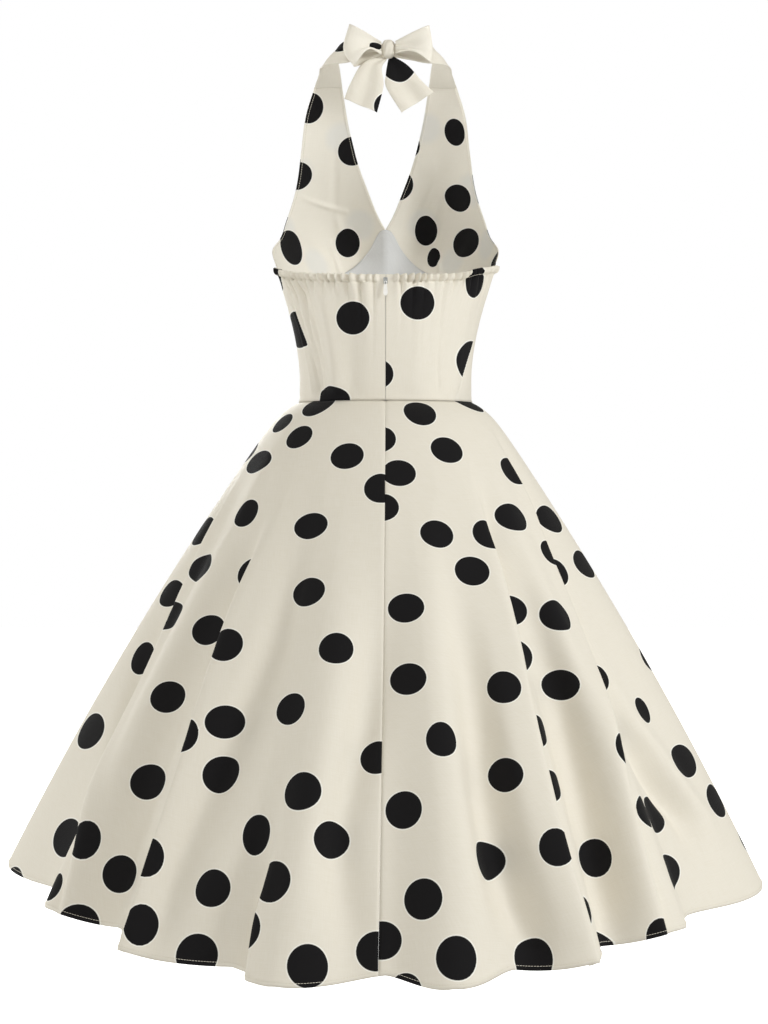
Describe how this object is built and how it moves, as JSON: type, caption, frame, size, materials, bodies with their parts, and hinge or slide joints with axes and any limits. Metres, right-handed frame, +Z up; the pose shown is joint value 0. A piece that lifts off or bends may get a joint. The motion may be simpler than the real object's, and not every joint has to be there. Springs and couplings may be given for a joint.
{
  "type": "halter swing dress",
  "caption": "Hollow halter-neck dress with a gathered open back, a flared fluted skirt, a bow at the nape and a centre-back zip.",
  "frame": {"origin": "the nape, where the tied neck straps rest on the back of the wearer's neck", "axes": "+Z up, -Y the way the wearer faces, +X the wearer's left"},
  "size_m": [0.9187, 0.894, 1.0422],
  "materials": {
    "dress_cloth": "ivory satin-weave cloth printed with black dots",
    "lining_cloth": "plain white lining",
    "zip_metal": "satin",
    "zip_pull_enamel": "cream enamel"
  },
  "bodies": {
    "dress": {"skirt_back_left": "dress_cloth", "skirt_back_right": "dress_cloth", "skirt_front": "dress_cloth", "back_bodice_left": "dress_cloth", "back_bodice_right": "dress_cloth", "front_midriff": "dress_cloth", "midriff_lining": "lining_cloth", "halter_left": "dress_cloth", "halter_right": "dress_cloth", "neck_tie_left": "dress_cloth", "neck_tie_right": "dress_cloth", "bow_knot": "dress_cloth", "bow_loop_left": "dress_cloth", "bow_loop_right": "dress_cloth", "bow_tail_left": "dress_cloth", "bow_tail_right": "dress_cloth", "zip_tape": "lining_cloth", "zip_slider": "zip_metal"},
    "pull_tab": {"zip_pull": "zip_pull_enamel"}
  },
  "joints": [
    {"name": "pull_hinge", "type": "hinge", "parent": "dress", "child": "pull_tab", "pos_m": [0, 0.0216, -0.278], "axis": [1, 0, 0], "range_deg": [0, 160]}
  ]
}
